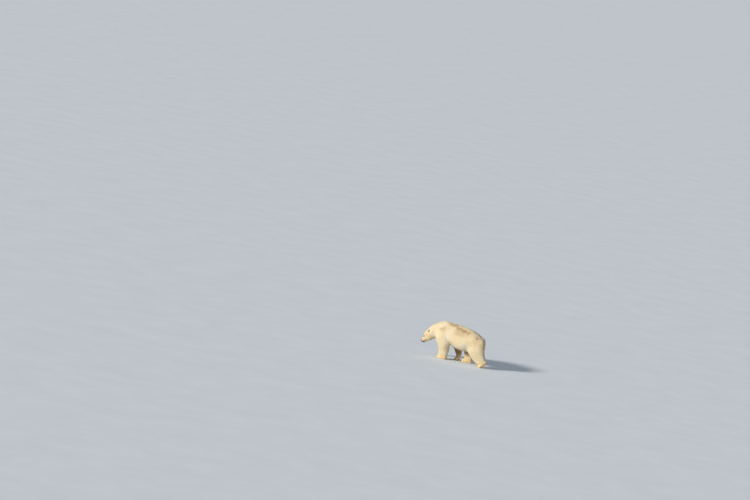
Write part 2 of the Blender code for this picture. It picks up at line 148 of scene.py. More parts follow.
def twoAngles(rows, columns, edge):
    # the angle from the pole by rows and round it by columns
    theta = np.linspace(edge, math.pi - edge, rows)[:, None]
    return theta, np.linspace(0, 2 * math.pi, columns, endpoint=False)[None, :]


def joinedMesh(name, meshes):
    work = bmesh.new()
    for mesh in meshes:
        work.from_mesh(mesh)
    whole = bpy.data.meshes.new(name)
    work.to_mesh(whole)
    work.free()
    return whole


def addObject(name, data):
    made = bpy.data.objects.new(name, data)
    bpy.context.scene.collection.objects.link(made)
    return made


def addPiece(name, mesh, material, nodes=()):
    piece = addObject(name, mesh)
    mesh.materials.clear()
    mesh.materials.append(material)
    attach(piece, "root")
    if nodes:
        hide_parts(*nodes)
    print("piece", name, len(mesh.polygons), "faces")


def nodePoints(name):
    return pointsOf(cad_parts[name].data)


def waves(points, seed, size, count=7):
    # a smooth random field from -1 to 1: sines in random directions, each about size long
    rng = np.random.default_rng(seed)
    ways = unit(rng.normal(size=(count, 3))) * (2 * math.pi / size) * rng.uniform(0.6, 1.7, (count, 1))
    phases = rng.uniform(0, 2 * math.pi, count)
    return np.sin(points @ ways.T + phases).sum(1) / math.sqrt(count) / 1.3


# the head's own axes
headPose = {"pitch": 45.0, "yaw": 15.0, "eyeBack": 0.156, "eyeUp": 0.072}
pitch, yaw = math.radians(headPose["pitch"]), math.radians(headPose["yaw"])
headForward = -np.array([math.cos(pitch) * math.cos(yaw), math.cos(pitch) * math.sin(yaw), math.sin(pitch)])
headLeft = np.array([math.sin(yaw), -math.cos(yaw), 0.0])
headUp = -np.cross(headLeft, headForward)
sides = {"left": 1, "right": -1}
eyeCentres = {side: nodePoints(side + "_eye").mean(0) for side in sides}
eyeRadius = float(np.ptp(nodePoints("left_eye")[:, 2]) / 2)
eyesMiddle = (eyeCentres["left"] + eyeCentres["right"]) / 2
noseTip = eyesMiddle + headForward * headPose["eyeBack"] - headUp * headPose["eyeUp"]


def onHead(back, out, up):
    # back from the nose tip, out to the left, up across the muzzle
    return noseTip - headForward * back + headLeft * out + headUp * up


def headCoords(points):
    away = points - noseTip
    return -(away @ headForward), away @ headLeft, away @ headUp


# the skin: the flesh nodes fused into one body, drawn in by the coat's depth, then modelled at the head;
# the fine measures say how far round each part the mesh is split finer
paws = ("fore_left", "fore_right", "hind_left", "hind_right")
legNodes, pawNodes = [paw + "_leg" for paw in paws], [paw + "_paw" for paw in paws]
fleshNodes = ["head", "neck", "trunk", "tail"] + legNodes + pawNodes
skinPlan = {"grain": 0.0125, "weld": 0.00002, "swell": 0.001, "fineHead": 0.46, "fineFeet": 0.125,
            "fineFace": 0.27, "fineEyes": 0.034, "smoothRounds": 36, "blendRounds": 30, "soleLift": 0.0015,
            "footReach": 0.1, "underfur": 0.64}


def clawNodes(paw):
    return [paw + "_claw_" + str(number) for number in range(1, 6)]


def fleshArrays(names):
    # the nodes' points and triangles in one pair of arrays, and each triangle's node
    points, triangles, labels, start = [], [], [], 0
    for number, name in enumerate(names):
        points.append(nodePoints(name))
        triangles.append(trianglesOf(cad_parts[name].data) + start)
        labels.append(np.full(len(triangles[-1]), number))
        start += len(points[-1])
    return np.vstack(points), np.vstack(triangles), np.concatenate(labels)


def fusedFlesh():
    # the nodes, welded and a little swollen so that they meet, then remeshed as one
    points, triangles, _ = fleshArrays(fleshNodes + ["nose", "left_eye", "right_eye"])
    mesh = meshFromFaces("flesh copy", points, (), triangles)
    edit(mesh, lambda work: bmesh.ops.remove_doubles(work, verts=work.verts, dist=skinPlan["weld"]))
    setPoints(mesh, pointsOf(mesh) + skinPlan["swell"] * normalsOf(mesh))
    body = addObject("flesh copy", mesh)
    remesh = body.modifiers.new("Remesh", "REMESH")
    remesh.mode = "VOXEL"
    remesh.voxel_size = skinPlan["grain"]
    made = bpy.data.meshes.new_from_object(body.evaluated_get(bpy.context.evaluated_depsgraph_get()))
    bpy.data.objects.remove(body)
    return made


def splitFiner(mesh, chosen):
    # every edge with both ends chosen is halved
    def halve(work):
        edges = [edge for edge in work.edges if chosen[edge.verts[0].index] and chosen[edge.verts[1].index]]
        bmesh.ops.subdivide_edges(work, edges=edges, cuts=1, use_grid_fill=True)
    edit(mesh, halve)


def neighbourTable(mesh):
    # each vertex's neighbours, padded with itself, and how many there are
    ends = arrayOf(mesh.edges, "vertices", 2, np.int64)
    both = np.vstack([ends, ends[:, ::-1]])
    both = both[np.argsort(both[:, 0], kind="stable")]
    degree = np.bincount(both[:, 0], minlength=len(mesh.vertices))
    start = np.cumsum(degree) - degree
    place = np.arange(len(both)) - start[both[:, 0]]
    table = np.repeat(np.arange(len(mesh.vertices))[:, None], degree.max(), axis=1)
    table[both[:, 0], place] = both[:, 1]
    return table, degree


def spread(values, rounds, share=0.6):
    # each value moves towards the mean of its neighbours
    columns = values.astype(float).reshape(len(values), -1)
    padding = (table.shape[1] - degree)[:, None]
    for _ in range(rounds):
        mean = (columns[table].sum(1) - padding * columns) / degree[:, None]
        columns = columns + share * (mean - columns)
    return columns.reshape(values.shape)


def evened(points, rounds, amount):
    # a smoothing step in, then a slightly larger one out, so nothing shrinks
    for _ in range(rounds):
        inward = spread(points, 1, 0.5)
        points = points + (spread(inward, 1, -0.52) - points) * amount
    return points


def nearestOn(tree, points):
    # each point's foot on a surface, with the normal and face there
    found = [tree.find_nearest(point) for point in points.tolist()]
    return [np.array([hit[column] for hit in found]) for column in range(3)]


print("fusing the flesh")
skin = fusedFlesh()
start = pointsOf(skin)
splitFiner(skin, (gapTo(start, noseTip) < skinPlan["fineHead"]) | (start[:, 2] < skinPlan["fineFeet"]))
splitFiner(skin, gapTo(pointsOf(skin), noseTip) < skinPlan["fineFace"])
start = pointsOf(skin)
nearEyes = np.minimum(*[gapTo(start, centre) for centre in eyeCentres.values()])
splitFiner(skin, nearEyes < skinPlan["fineEyes"])
table, degree = neighbourTable(skin)
outer = pointsOf(skin)
# smoothed least near the nose and the floor; the soles stay flat
ease = 0.25 + 0.75 * step01(gapTo(outer, noseTip), 0.25, 0.42)
ease = (ease * (0.35 + 0.65 * step01(outer[:, 2], 0.1, 0.2)))[:, None]
smooth = evened(outer, skinPlan["smoothRounds"], ease)
smooth[:, 2] = np.where(outer[:, 2] < 0.004, outer[:, 2], smooth[:, 2])
outer = smooth
setPoints(skin, outer)
outerNormals = normalsOf(skin)
print("skin", len(outer), "points")

# which node each point of the skin came from
cloud, faces, labels = fleshArrays(fleshNodes)
label = labels[nearestOn(BVHTree.FromPolygons(cloud.tolist(), faces.tolist()), outer)[2]]


def isOf(labels, *names):
    return np.isin(labels, [fleshNodes.index(name) for name in names])


def within(*names):
    return isOf(label, *names).astype(float)[:, None]


# each zone's coat: its depth, and its tufts' length and spacing
coatPlan = {"muzzle": (0.0022, 0.0105, 0.0018), "face": (0.0044, 0.02, 0.0023),
            "nape": (0.009, 0.036, 0.0037), "neck": (0.013, 0.062, 0.0044),
            "trunk": (0.0135, 0.072, 0.0051), "tail": (0.012, 0.055, 0.0043),
            "thigh": (0.013, 0.064, 0.0051), "shank": (0.0092, 0.046, 0.0041), "paw": (0.006, 0.021, 0.0033)}


def overBody():
    # the three measures at each point, eased from zone to zone
    zone = {name: np.array(measures) for name, measures in coatPlan.items()}
    back = headCoords(outer)[0][:, None]
    muzzle = 1 - step01(back, 0.1, 0.19)
    head = zone["face"] + (zone["muzzle"] - zone["face"]) * muzzle
    head = head + (zone["nape"] - head) * step01(back, 0.24, 0.42)
    low = 1 - step01(outer[:, 2:], 0.2, 0.46)
    leg = zone["thigh"] + (zone["shank"] - zone["thigh"]) * low
    value = within("head") * head + within("neck") * zone["neck"] + within("trunk") * zone["trunk"]
    value = value + within("tail") * zone["tail"] + within(*legNodes) * leg + within(*pawNodes) * zone["paw"]
    return spread(value, skinPlan["blendRounds"])


def lieOfCoat(normals):
    # back from the nose, down the flanks, rump and legs, and forward over the toes
    side = np.abs(normals[:, 1])
    level = 0 * side
    drop = -0.1 - 0.55 * side ** 2 - 0.75 * step01(normals[:, 0], 0.2, 0.9)
    trunkWay = unit(np.stack([level + 1, level, drop], 1))
    drop = 0.1 - (0.55 * side + 0.5 * step01(-normals[:, 2], 0, 0.8))
    neckWay = unit(np.stack([level + 1, level + 0.1, drop], 1))
    headWay = unit(unit(outer - noseTip) + neckWay * step01(headCoords(outer)[0], 0.22, 0.45)[:, None])
    way = within("head") * headWay + within("neck") * neckWay + within("trunk") * trunkWay
    straightWays = ((["tail"], (0.35, 0, -1)), (legNodes, (0.28, 0, -1)), (pawNodes, (-0.75, 0, -0.55)))
    for nodes, straight in straightWays:
        way = way + within(*nodes) * unit(np.array(straight))
    for _ in range(6):
        way = laidAlong(spread(way, 6), normals)
    return way


coatDepth, coatLength, coatSpacing = overBody().T
sole = (1 - step01(outer[:, 2], 0.004, 0.02)) * step01(-outerNormals[:, 2], 0.8, 0.97)
softNormals = unit(spread(outerNormals, 10))
inward = softNormals * (coatDepth * (1 - sole))[:, None]
for paw in paws:
    # beside the floor the foot narrows, so that no rim is left round the sole
    low = within(paw + "_paw") * (1 - step01(outer[:, 2:], 0.01, 0.034))
    narrowed = outer - nodePoints(paw + "_paw").mean(0)
    narrowed = narrowed * (coatDepth / skinPlan["footReach"])[:, None] * (1, 1, 0)
    narrowed[:, 2] = inward[:, 2]
    inward = inward + (narrowed - inward) * low
inner = evened(outer - inward, 6, ease)
inner[:, 2] = np.maximum(inner[:, 2], skinPlan["soleLift"])

# the eyes' sockets and lids; the gaze is in head terms
eyePlan = {"gaze": (0.72, 0.5, 0.48), "sink": 0.005, "halfLength": 0.0104, "halfHeight": 0.0066, "tilt": 12.0,
           "lid": 0.0015, "brow": 0.0012, "blend": 0.0024, "fade": 0.03}
# the line between the lips, back, out and up on the head
lipPath = np.array([(0.016, 0.0, -0.03), (0.024, 0.026, -0.04), (0.046, 0.044, -0.048),
                    (0.08, 0.052, -0.05), (0.118, 0.057, -0.047), (0.15, 0.063, -0.04),
                    (0.172, 0.069, -0.033)])


def eyeAxes(side):
    out, forward, up = eyePlan["gaze"]
    gaze = unit(headLeft * out * sides[side] + headForward * forward + headUp * up)
    along = unit(headForward - gaze * (headForward @ gaze))
    upward = unit(np.cross(gaze, along))
    upward = upward * (1 if upward @ headUp > 0 else -1)
    turn = math.radians(eyePlan["tilt"])
    cosine, sine = math.cos(turn), math.sin(turn)
    return gaze, along * cosine - upward * sine, upward * cosine + along * sine


def ballCentre(side):
    return eyeCentres[side] - eyeAxes(side)[0] * eyePlan["sink"]


def eyeFrame(points, side):
    # height along the gaze, distance from it, and the share of the opening, 1 at its edge
    gaze, along, upward = eyeAxes(side)
    away = points - ballCentre(side)
    height, a, b = away @ gaze, away @ along, away @ upward
    corner = np.sqrt((a / eyePlan["halfLength"]) ** 2 + (b / eyePlan["halfHeight"]) ** 2)
    return height, np.sqrt(a * a + b * b), corner


def shapeLids(points):
    # the skin rises to a shell just outside the ball, and drops behind it in the opening
    fade = eyePlan["fade"]
    for side in sides:
        height, radius, corner = eyeFrame(points, side)
        near = (height > -0.004) & (radius < fade)
        shell = eyeRadius + eyePlan["lid"] + eyePlan["brow"] * mound((corner, 1.5, 0.35))
        ball = np.sqrt(np.maximum(shell ** 2 - radius ** 2, 0.0))
        ball = ball - 0.02 * step01(radius, shell * 0.9, shell * 1.2)
        gap = height - ball
        lid = (height + ball + np.sqrt(gap ** 2 + eyePlan["blend"] ** 2)) / 2
        lid = height + (lid - height) * (1 - step01(radius, fade * 0.6, fade))
        # close to the opening the lid lies on the ball
        onBall = 1 - step01(corner, 1.15, 1.9)
        lid = lid + (np.maximum(ball, 0.0) - lid) * onBall
        inside = 1 - step01(corner, 0.86, 1.02)
        behind = np.sqrt(np.maximum((eyeRadius * 0.72) ** 2 - radius ** 2, 0.0))
        target = lid * (1 - inside) + behind * inside
        points[near] += ((target - height)[:, None] * eyeAxes(side)[0])[near]
    return points


def toLine(points, a, b):
    # distance to the line from a to b, and the share of the way along it
    t = np.clip(((points - a) @ (b - a)) / ((b - a) @ (b - a)), 0, 1)
    return np.linalg.norm(points - (a + t[..., None] * (b - a)), axis=-1), t


def toLips(points):
    # the same for the lips, on both sides of the head
    back, out, up = headCoords(points)
    local = np.stack([back, np.abs(out), up], 1)
    best = np.full(len(points), 9.0)
    share = np.zeros(len(points))
    for number, (a, b) in enumerate(zip(lipPath[:-1], lipPath[1:])):
        gap, t = toLine(local, a, b)
        share = np.where(gap < best, (number + t) / (len(lipPath) - 1), share)
        best = np.minimum(best, gap)
    return best, share


# how far each feature goes in or stands out
headPlan = {"hollow": 0.0045, "bridge": 0.002, "wing": 0.0028, "lips": 0.0046, "upperLip": 0.0016}


def shapeHead(points, normals):
    # hollows before the eyes and along the bridge, nostril wings, and a groove between the lips
    back, out, up = headCoords(points)
    side = np.abs(out)
    near = step01(-back, -0.46, -0.4)
    hollow = mound((back, 0.12, 0.03), (side, 0.05, 0.02), (up, 0.045, 0.03))
    points = points - normals * (headPlan["hollow"] * hollow * near)[:, None]
    bridge = mound((out, 0, 0.012)) * step01(up, 0.02, 0.05) * mound((back, 0.09, 0.07))
    points = points - normals * (headPlan["bridge"] * bridge * near)[:, None]
    wings = mound((back, 0.022, 0.012), (side, 0.03, 0.012), (up, 0.006, 0.016))
    points = points + normals * (headPlan["wing"] * wings)[:, None]
    gap, share = toLips(points)
    groove = mound((gap, 0, 0.0036)) * (1 - 0.5 * share)
    upperLip = mound((gap, 0.01, 0.006)) * (up > -0.046 + 0.01 * share)
    points = points - normals * (headPlan["lips"] * groove)[:, None]
    return points + normals * (headPlan["upperLip"] * upperLip * (1 - share))[:, None]


toePlan = {"groove": 0.015, "width": 0.0075, "reach": 0.105, "fur": 0.025, "lift": 0.011,
           "near": 0.012, "far": 0.038}


def clawLine(node, paw):
    # where a claw leaves its toe, its point, and the way the toes face
    points = nodePoints(node)
    claws = np.vstack([nodePoints(name) for name in clawNodes(paw)])
    ahead = unit((claws.mean(0) - nodePoints(paw + "_paw").mean(0)) * (1, 1, 0))
    reach = points @ ahead
    rootPart = points[reach < reach.min() + 0.25 * np.ptp(reach)]
    return (rootPart.min(0) + rootPart.max(0)) / 2, points[reach.argmax()], ahead


def shapeToes(points, normals):
    # a groove between each pair of toes, deepest at the front
    for paw in paws:
        lines = [clawLine(node, paw) for node in clawNodes(paw)]
        ahead = lines[0][2]
        side = np.array([-ahead[1], ahead[0], 0.0])
        roots = np.array(sorted([line[0] for line in lines], key=lambda root: root @ side))
        across = points @ side
        for a, b in zip(roots[:-1], roots[1:]):
            middle = (a + b) / 2
            front = (points - middle) @ ahead
            depth = mound((across, middle @ side, toePlan["width"]))
            depth = depth * step01(front, -toePlan["reach"], 0.005)
            depth = depth * (np.abs(points[:, 2] - middle[2]) < 0.09) * (front < 0.06)
            depth = depth * step01(-normals @ ahead, -1.2, -0.2)
            points = points - normals * (toePlan["groove"] * depth)[:, None]
    return points


setPoints(skin, inner)
inner = shapeToes(inner, normalsOf(skin))
inner[:, 2] = np.maximum(inner[:, 2], skinPlan["soleLift"])
setPoints(skin, inner)
inner = shapeLids(shapeHead(inner, normalsOf(skin)))
setPoints(skin, inner)
print("head and toes modelled")

# ears: a cupped disc with a thick rim, its foot sunk in the head
earPlan = {"back": 0.365, "out": 0.1, "up": 0.137, "halfWidth": 0.036, "halfHeight": 0.041, "thick": 0.0068,
           "cup": 0.02, "curl": 0.01, "setBack": 0.006, "clear": 0.002, "cupShadeOffset": 0.004, "roll": 34.0,
           "pitch": 17.0, "yaw": 16.0, "depth": 0.0036, "length": 0.013, "spacing": 0.0022}


def turnAbout(axis, angle):
    return Matrix.Rotation(math.radians(angle), 3, axis)


def earAxes(side):
    # its front, breadth and height
    turn = turnAbout("Z", headPose["yaw"] + sides[side] * earPlan["yaw"]) @ turnAbout("Y", earPlan["pitch"])
    turn = turn @ turnAbout("X", -sides[side] * earPlan["roll"])
    return [np.array(turn @ Vector(axis)) for axis in ((-1, 0, 0), (0, 1, 0), (0, 0, 1))]


def earCentre(side):
    return onHead(earPlan["back"], sides[side] * earPlan["out"], earPlan["up"])


def earMesh(side):
    # an ellipsoid, pressed in as a cup from the front and rounded behind, its rim curled forward
    front, across, upward = earAxes(side)
    theta, phi = twoAngles(rows=24, columns=44, edge=0.04)
    x, y, z = np.sin(theta) * np.cos(phi), np.sin(theta) * np.sin(phi), np.cos(theta) + 0 * phi
    rim = np.sqrt(x * x + y * y)
    cup = np.where(z > 0, np.maximum(1 - (rim / 0.86) ** 2, 0) ** 0.7, 0.9 * (1 - rim ** 2) ** 0.8)
    depth = earPlan["thick"] * z * (0.55 + 0.45 * rim) - earPlan["cup"] * cup
    depth = depth + earPlan["curl"] * rim ** 2 - earPlan["setBack"]
    grid = earCentre(side) + across * (x * earPlan["halfWidth"] * (1 - 0.2 * y))[..., None]
    grid = grid + upward * (y * earPlan["halfHeight"])[..., None] + front * depth[..., None]
    # the floor of the cup stays just outside the head
    flat = grid.reshape(-1, 3)
    foot, normal, _ = nearestOn(bodyTree, flat)
    inCup = (z > 0) * (1 - step01(rim, 0.74, 0.94))
    short = np.maximum(earPlan["clear"] - dot(flat - foot, normal), 0) * inCup.ravel()
    return gridMesh(side + " ear", (flat + normal * short[:, None]).reshape(grid.shape))


bodyCount = len(inner)
bodyTree = BVHTree.FromPolygons(inner.tolist(), [tuple(face.vertices) for face in skin.polygons])
skin = joinedMesh("bear_skin", [skin] + [earMesh(side) for side in sides])
inner = pointsOf(skin)
skinNormals = normalsOf(skin)
body, bodyNormals = inner[:bodyCount], skinNormals[:bodyCount]
earCount = len(inner) - bodyCount
coatDepth *= 1 - 0.8 * sole
coatLength *= 1 - 0.5 * sole
coatWay = lieOfCoat(softNormals)


def led(way, towards, share):
    # the lie turned by a share at each point, and kept along the skin
    return laidAlong(way + (towards - way) * share[:, None], bodyNormals)


for side in sides:
    # round the eyes the coat parts and is short and fine, and round the ears it is flatter
    away = body - eyeCentres[side]
    reach = np.linalg.norm(away, axis=1)
    coatWay = led(coatWay, unit(away), 0.85 * (1 - step01(reach, 0.016, 0.042)))
    coatLength *= 0.45 + 0.55 * step01(reach, 0.014, 0.055)
    coatSpacing *= 0.74 + 0.26 * step01(reach, 0.02, 0.05)
    byEar = 1 - step01(gapTo(body, earCentre(side)), 0.036, 0.08)
    coatLength *= 1 - 0.45 * byEar
    coatDepth *= 1 - 0.45 * byEar
# along the lips it is short, and over the toes it reaches forward past the claws' roots
coatLength *= 0.38 + 0.62 * step01(toLips(body)[0], 0.004, 0.026)
for paw in paws:
    for node in clawNodes(paw):
        root, tip, ahead = clawLine(node, paw)
        near = 1 - step01(gapTo(body, root), toePlan["near"], toePlan["far"])
        coatWay = led(coatWay, unit(tip - root + 0.6 * ahead * np.linalg.norm(tip - root)), near * 0.9)
        coatLength += (toePlan["fur"] - coatLength) * near
        coatDepth += toePlan["lift"] * near * step01(bodyNormals @ ahead, 0.1, 0.7)
# the ears' own coat lies upwards and outwards from their foot
coatDepth, coatLength, coatSpacing = [
    np.append(measure, np.full(earCount, earPlan[name]))
    for measure, name in ((coatDepth, "depth"), (coatLength, "length"), (coatSpacing, "spacing"))]
earCupSkinAndShade = []
earArrays = [array[bodyCount:].reshape(2, -1, 3) for array in (inner, skinNormals)]
for side, points, normals in zip(sides, *earArrays):
    front, across, upward = earAxes(side)
    away = points - (earCentre(side) - upward * earPlan["halfHeight"] * 0.9)
    coatWay = np.vstack([coatWay, laidAlong(away, normals)])
    rim = gapTo(points, earCentre(side)) / earPlan["halfHeight"]
    # how far into each ear's cup a point is: its skin is darkened there, partly as painted shade in the
    # hollow
    earCupSkinAndShade.append(step01(normals @ front, 0.1, 0.5) * (1 - step01(rim, 0.55, 0.85)))

# bare is 1 where no tuft grows, and dark is 1 where the skin is black: at eyes, lips, nose and soles, and in
# the ears' cups, where the dark is partly painted shade in the hollow
shares = []
for side in sides:
    height, radius, corner = eyeFrame(inner, side)
    near = (height > -0.012) * (radius < 0.03)
    shares.append((near * (1 - step01(corner, 1.28, 1.42)), near * (1 - step01(corner, 1.35, 1.75))))
gap, share = toLips(inner)
lipWidth = (0.01 - 0.0058 * np.minimum(share * 1.6, 1)) * (1 - 0.75 * step01(share, 0.55, 0.85))
shares.append((1 - step01(gap, lipWidth * 0.8, lipWidth * 1.1), 1 - step01(gap, lipWidth, lipWidth + 0.004)))
back, out, up = headCoords(inner)
onNose = ((back - 0.02) / 0.03) ** 2 + (out / 0.037) ** 2 + ((up + 0.002) / 0.033) ** 2
shares.append((1 - step01(onNose, 0.9, 1.1), 1 - step01(onNose, 1.1, 1.5)))
underEar = [gapTo(body, earCentre(side)) < earPlan["halfWidth"] * 0.75 for side in sides]
foot, normal, _ = nearestOn(bodyTree, inner[bodyCount:])
sunk = dot(inner[bodyCount:] - foot, normal) < 0.001
underEar = np.max([sole, *underEar], axis=0)
shares.append((np.append(underEar, sunk), np.append(sole, np.hstack(earCupSkinAndShade) * 0.85)))
bare, dark = np.max(shares, axis=0)

skinTriangles = trianglesOf(skin)
table, degree = neighbourTable(skin)
ring = np.column_stack([np.arange(len(inner)), table])
edgeLength = np.linalg.norm(inner[table] - inner[:, None], axis=2).sum(1) / degree
print("skin triangles", len(skinTriangles))

# the coat: slim closed tufts that follow the skin; a pair is the lowest and highest share of the zone's
# measure, and most keeps each piece under 200,000 triangles
tuftPlan = {"ridge": 0.26, "middleShare": 0.42, "middleRise": 0.86, "tipRise": (0.78, 1.04), "swing": 0.13,
            "stray": 0.08, "round": 0.65, "shortWider": 0.35, "length": (0.72, 1.28), "rise": (0.86, 1.03),
            "width": (0.8, 1.2), "sunk": 0.0015, "offFloor": 0.0006, "patch": 0.003, "walk": 16,
            "most": 32500}


def footOn(points, at):
    # the point's foot on the skin, with the skin's normal and the coat's lie there
    near = ring[at]
    gap2 = ((inner[near] - points[:, None]) ** 2).sum(-1)
    share = np.exp(-gap2 / (2 * (0.8 * edgeLength[at][:, None]) ** 2)) + 1e-9
    share = (share / share.sum(1, keepdims=True))[..., None]
    normal = unit((skinNormals[near] * share).sum(1))
    centre = (inner[near] * share).sum(1)
    foot = points - dot(points - centre, normal)[:, None] * normal
    return foot, normal, laidAlong((coatWay[near] * share).sum(1), normal)


def turned(way, normal, angle):
    return way * np.cos(angle)[:, None] + np.cross(normal, way) * np.sin(angle)[:, None]


def stepOn(foot, way, at, reach, swing):
    # one step along the coat's lie, then from vertex to vertex to the nearest one, and back onto the skin
    guess = foot + way * reach[:, None]
    rows = np.arange(len(guess))
    for _ in range(tuftPlan["walk"]):
        choices = ring[at]
        at = choices[rows, ((inner[choices] - guess[:, None]) ** 2).sum(-1).argmin(1)]
    foot, normal, nextWay = footOn(guess, at)
    return foot, normal, laidAlong(unit(turned(nextWay, normal, swing) * 0.6 + way * 0.4), normal), at


def unwrapped(roots, normals, axis):
    # a cylinder unrolled: across by the angle about the piece's centre line, up by the way along it
    axis = unit(np.asarray(axis, float))
    sideA = unit(np.cross(axis, [0.0, 1.0, 0.0]))
    sideB = np.cross(axis, sideA)
    along = roots @ axis
    a, b = [away - np.polyval(np.polyfit(along, away, 3), along) for away in (roots @ sideA, roots @ sideB)]
    radius = np.hypot(a, b)
    along = along + (normals @ axis) * (radius.max() - radius)
    across = (np.arctan2(b, a) + math.pi) / (2 * math.pi)
    return np.stack([across, (along - along.min()) / np.ptp(along)], 1) * 0.98 + 0.01


def tuftRoots(chosen, rng):
    # roots drawn evenly by area, and a corner of the triangle each stands on
    total = np.cumsum(wanted[chosen])
    count = int(total[-1])
    draws = (np.arange(count) + rng.uniform(0, 1, count)) * (total[-1] / count)
    corners = skinTriangles[chosen[np.minimum(np.searchsorted(total, draws), len(chosen) - 1)]]
    step = np.arange(count)
    u, v = (rng.uniform() + 0.7548776662 * step) % 1, (rng.uniform() + 0.5698402909 * step) % 1
    u, v = np.where(u + v > 1, 1 - u, u), np.where(u + v > 1, 1 - v, v)
    roots = sum(inner[corners[:, k]] * share[:, None] for k, share in enumerate((1 - u - v, u, v)))
    return roots, corners[:, 0]


def tuftMesh(name, chosen, axis, seed):
    # each tuft has a root, three points round its middle and a tip, set along the coat's lie
    rng = np.random.default_rng(seed)
    roots, at = tuftRoots(chosen, rng)
    count, plan = len(roots), tuftPlan
    size = coatLength[at] * rng.uniform(*plan["length"], count) * (1 + 0.14 * waves(roots, 5, 0.11))
    rise = coatDepth[at] * rng.uniform(*plan["rise"], count) * (1 + 0.07 * waves(roots, 6, 0.06))
    width = (coatSpacing[at] * 0.9 + 0.0006) * rng.uniform(*plan["width"], count)
    width = width * (1 + plan["shortWider"] * (1 - step01(coatLength[at], 0.02, 0.045)))
    swing = plan["swing"] * (waves(roots, 7, 0.16) + waves(roots, 8, 0.05))
    swing = swing + rng.normal(0, plan["stray"], count)
    tipRise = rng.uniform(*plan["tipRise"], count)
    foot, normal, way = footOn(roots, at)
    # each tuft is a small patch at its root's place on the unrolled skin
    home = unwrapped(foot, normal, axis)[:, None, :]
    points = np.empty((count, 5, 3))
    points[:, 0] = foot - normal * plan["sunk"]
    # light falls on a tuft as on the coat's own surface, a little rounded across
    shown = np.repeat(normal[:, None], 5, axis=1)
    way = turned(way, normal, swing)
    foot, normal, way, at = stepOn(foot, way, at, size * plan["middleShare"], swing)
    place = foot + normal * (rise * plan["middleRise"])[:, None]
    side = np.cross(normal, way) * (width / 2)[:, None]
    thick = normal * (width * plan["ridge"] / 2)[:, None]
    points[:, 1], points[:, 2], points[:, 3] = place + side - thick, place + thick, place - side - thick
    for row, turn in ((1, plan["round"]), (2, 0), (3, -plan["round"])):
        shown[:, row] = unit(normal + unit(side) * turn)
    foot, normal, way, at = stepOn(foot, way, at, size * (1 - plan["middleShare"]), swing)
    points[:, 4] = foot + normal * (rise * tipRise)[:, None]
    shown[:, 4] = unit(normal + way * 0.3)
    points[..., 2] = np.maximum(points[..., 2], plan["offFloor"])
    base = (np.arange(count) * 5)[:, None, None]
    pattern = [(0, (k + 1) % 3 + 1, k + 1) for k in range(3)]
    pattern += [(k + 1, (k + 1) % 3 + 1, 4) for k in range(3)]
    mesh = meshFromFaces(name, points.reshape(-1, 3), (), base + np.array(pattern)[None])
    spots = [[(k / 3 + 1 / 6, 0), ((k + 1) / 3, 0.5), (k / 3, 0.5)] for k in range(3)]
    spots += [[(k / 3, 0.5), ((k + 1) / 3, 0.5), (k / 3 + 1 / 6, 1)] for k in range(3)]
    uv = home + (np.array(spots).reshape(1, -1, 2) - 0.5) * plan["patch"]
    layer = mesh.uv_layers.new(name="OFBake", do_init=False)
    layer.uv.foreach_set("vector", uv.astype(np.float32).ravel())
    addValues(mesh, "along", np.tile([0, 0.5, 0.5, 0.5, 1], count))
    shade = 0.5 + 0.12 * waves(roots, 9, 0.05) + rng.normal(0, 0.16, count)
    addValues(mesh, "shade", np.repeat(shade, 5))
    mesh.normals_split_custom_set_from_vertices(shown.reshape(-1, 3))
    return mesh


corner = inner[skinTriangles]
areas = np.linalg.norm(np.cross(corner[:, 1] - corner[:, 0], corner[:, 2] - corner[:, 0]), axis=1) / 2
wanted = areas / coatSpacing[skinTriangles].mean(1) ** 2
wanted = wanted * (bare[skinTriangles].max(1) < 0.5)
middles = corner.mean(1)
backs = headCoords(middles)[0]
# the ears belong to the head
labels = np.append(label, np.full(earCount, fleshNodes.index("head")))[skinTriangles[:, 0]]
isHead = isOf(labels, "head")
# each piece's share of the skin, and the way its centre line runs
coatGroups = {"coat_face": (isHead & (backs < 0.235), -headForward),
              "coat_crown": (isHead & (backs >= 0.235), -headForward),
              "coat_neck": (isOf(labels, "neck"), (0.8, 0.1, 0.6)),
              "coat_trunk": (isOf(labels, "trunk", "tail"), (1.0, 0.0, 0.0))}
for paw in paws:
    coatGroups["coat_" + paw] = (isOf(labels, paw + "_leg", paw + "_paw"), (0.0, 0.0, 1.0))


class Signal:
    # one socket of a shader, for sums and products

    def __init__(self, shader, socket):
        self.shader, self.socket = shader, socket

    def maths(self, operation, *values):
        return self.shader.node("ShaderNodeMath", {"operation": operation}, values)

    def __add__(self, other):
        return self.maths("ADD", self, other)

    def __sub__(self, other):
        return self.maths("SUBTRACT", self, other)

    def __rsub__(self, other):
        return self.maths("SUBTRACT", other, self)

    def __mul__(self, other):
        return self.maths("MULTIPLY", self, other)

    __radd__, __rmul__ = __add__, __mul__

    def kept(self, low, high):
        # 0 at low and 1 at high
        inputs = {"Value": self, "From Min": low, "From Max": high, "To Min": 0.0, "To Max": 1.0}
        return self.shader.node("ShaderNodeMapRange", {"interpolation_type": "SMOOTHSTEP"}, inputs)


